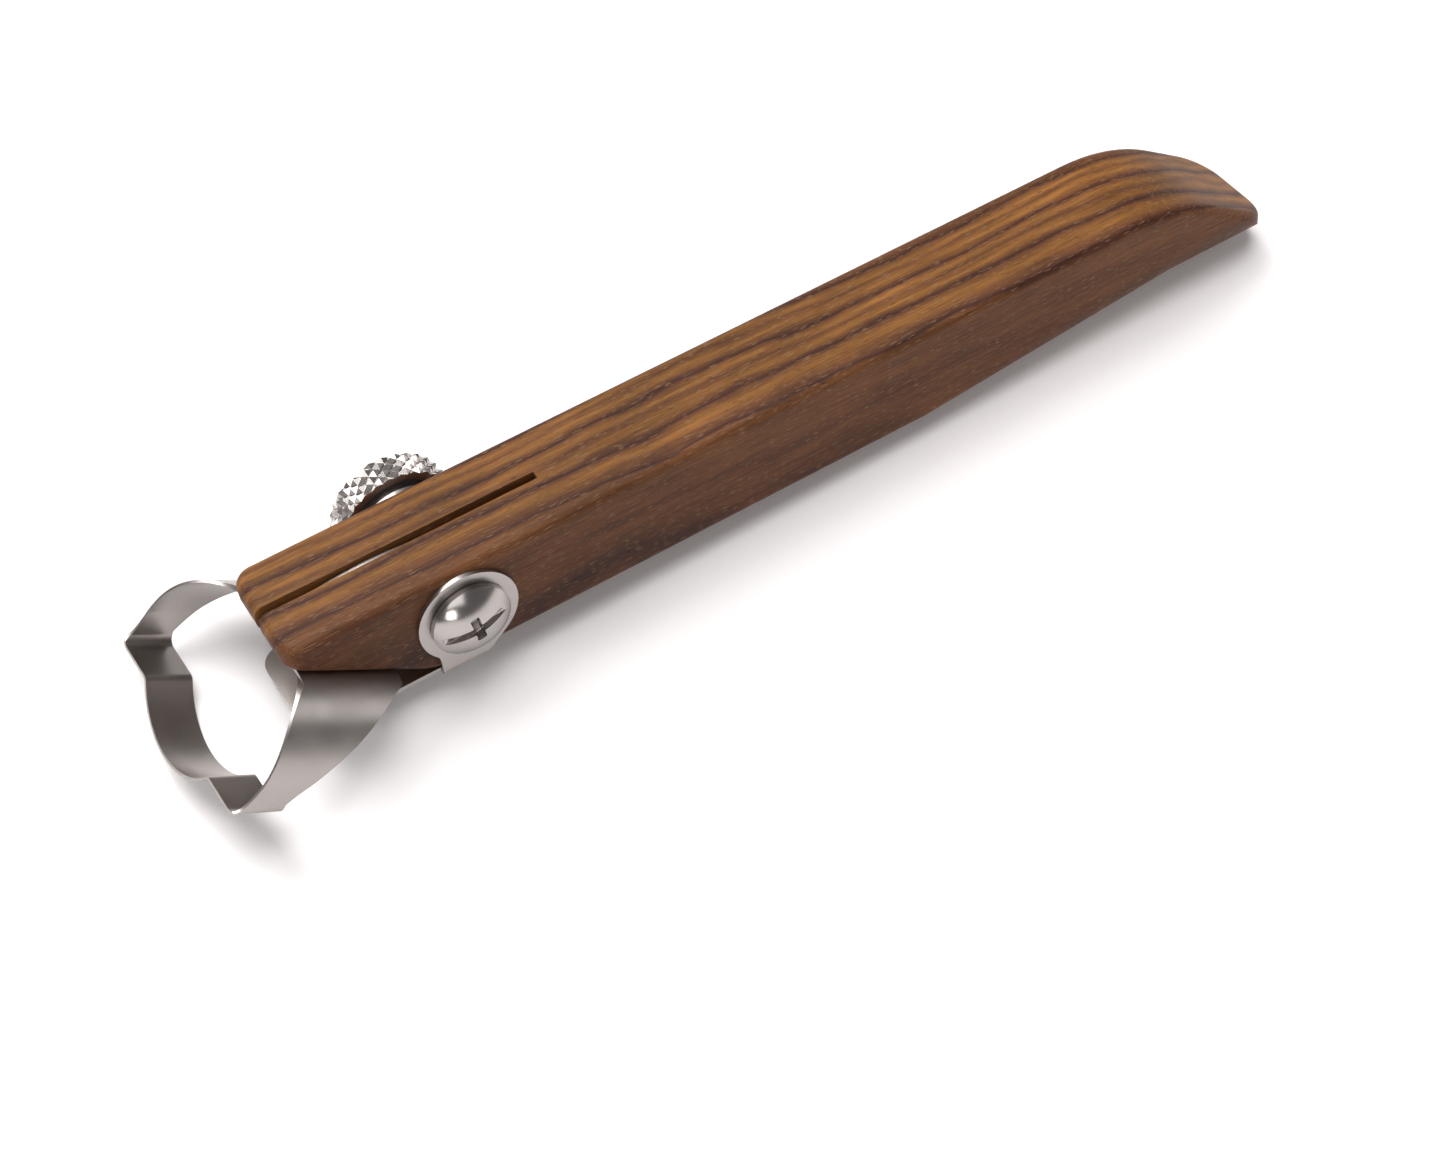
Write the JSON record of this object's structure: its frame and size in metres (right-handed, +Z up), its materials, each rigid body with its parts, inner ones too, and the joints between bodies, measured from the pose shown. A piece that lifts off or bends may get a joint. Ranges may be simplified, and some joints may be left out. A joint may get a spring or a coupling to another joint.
{
  "type": "clay ribbon tool",
  "caption": "Wooden-handled pottery tool that cuts ribbons of clay with a bent steel blade, clamped in the slit nose by a screw and a knurled thumb nut, with a sole plate that sets depth.",
  "frame": {"origin": "centre of the bounding box at its lowest level, on the table the tool lies on", "axes": "+X from the blade towards the tail, +Z up from the table, the nut on the +Y side and low; the tool leans to the nut by about 12 degrees, so it rests on the nut's rim, the blade's middle lobe and the tail"},
  "size_m": [0.1602, 0.034, 0.0197],
  "materials": {
    "wood": "oiled, satin",
    "blade_steel": "rolled, satin",
    "bracket_steel": "tumbled, satin",
    "screw_steel": "polished",
    "nut_steel": "knurled rim, turned faces"
  },
  "bodies": {
    "handle": {"handle": "wood", "bracket": "bracket_steel"},
    "blade": {"blade": "blade_steel"},
    "screw": {"clamp_screw": "screw_steel"},
    "nut": {"thumb_nut": "nut_steel"}
  },
  "joints": [
    {"name": "nut_spin", "type": "hinge", "parent": "handle", "child": "nut", "pos_m": [-0.04158, 0.00021, 0.01054], "axis": [-0.0047, 0.9799, -0.1995], "range_deg": [0, 2160]},
    {"name": "screw_travel", "type": "slide", "parent": "handle", "child": "screw", "axis": [0.0047, -0.9799, 0.1995], "range_m": [0, 0.00485]},
    {"name": "blade_tilt", "type": "hinge", "parent": "handle", "child": "blade", "pos_m": [-0.04158, 0.00021, 0.01054], "axis": [0.0047, -0.9799, 0.1995], "range_deg": [0, 12]}
  ],
  "couplings": [
    {"joint": "screw_travel", "follows": "nut_spin", "m_per_rad": 0.00012732}
  ]
}
